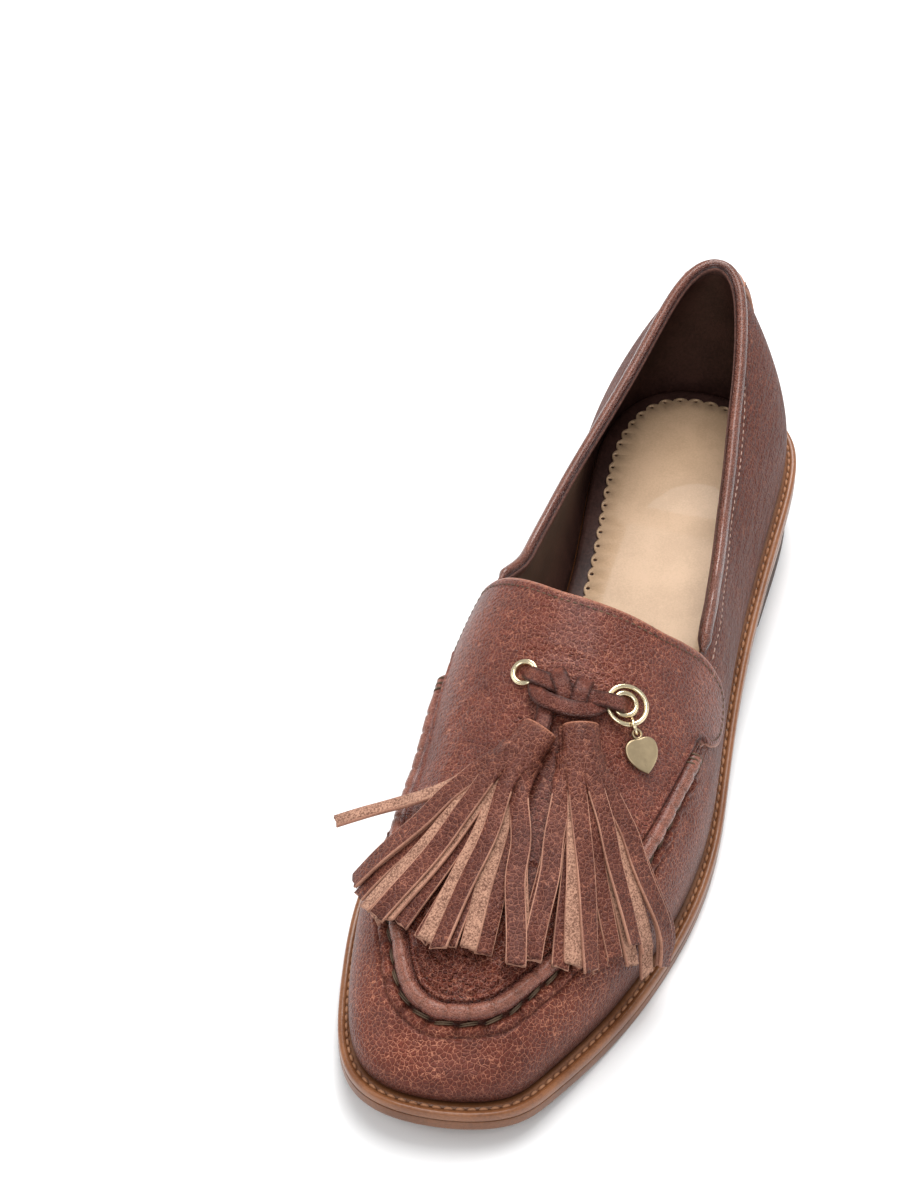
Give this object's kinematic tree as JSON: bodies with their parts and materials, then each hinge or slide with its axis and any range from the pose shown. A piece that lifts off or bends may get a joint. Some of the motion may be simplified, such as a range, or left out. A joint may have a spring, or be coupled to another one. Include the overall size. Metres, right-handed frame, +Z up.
{
  "type": "tassel loafer",
  "caption": "Low-heeled moccasin-seam loafer with a tongue apron, knotted lace, leather tassels and a heart charm on a ring.",
  "frame": {"origin": "middle of the shoe's box on the floor, under the waist of the sole", "axes": "+Z up, toe towards -Y and heel towards +Y, little-toe side of this left shoe towards +X"},
  "size_m": [0.0926, 0.264, 0.0787],
  "materials": {
    "upper_leather": "pebbled red-brown leather, half gloss, with fine creases",
    "binding_leather": "smooth red-brown leather turned over the topline, half gloss",
    "tassel_leather": "red-brown leather with a tan suede flesh side and raw cut edges",
    "lining": "dark brown smooth lining leather, dull",
    "sock": "pale beige leather sock with a scalloped and punched edge, dull",
    "sole_edge": "cognac waxed sole edge and welt, half gloss, with tan stitches",
    "heel_stack": "pinkish tan wrapped heel, smooth and half gloss",
    "top_lift": "dark brown hard rubber top piece, dull",
    "pale_gold": "polished pale gold plate"
  },
  "bodies": {
    "shoe": {"outsole": "sole_edge", "welt": "sole_edge", "heel_stack": "heel_stack", "top_lift": "top_lift", "insole": "lining", "sock": "sock", "upper": "upper_leather", "plug": "upper_leather", "moc_seam": "upper_leather", "collar_binding": "binding_leather", "back_tab": "upper_leather", "eyelet_medial": "pale_gold", "eyelet_lateral": "pale_gold", "lace_knot": "tassel_leather", "tassel_medial": "tassel_leather", "tassel_lateral": "tassel_leather", "jump_ring": "pale_gold"},
    "charm": {"charm_link": "pale_gold", "heart_charm": "pale_gold"}
  },
  "joints": [
    {"name": "charm_swing", "type": "hinge", "parent": "shoe", "child": "charm", "pos_m": [0.02298, -0.02938, 0.05444], "axis": [-0.7433, -0.658, 0.1208], "range_deg": [0, 100]}
  ]
}
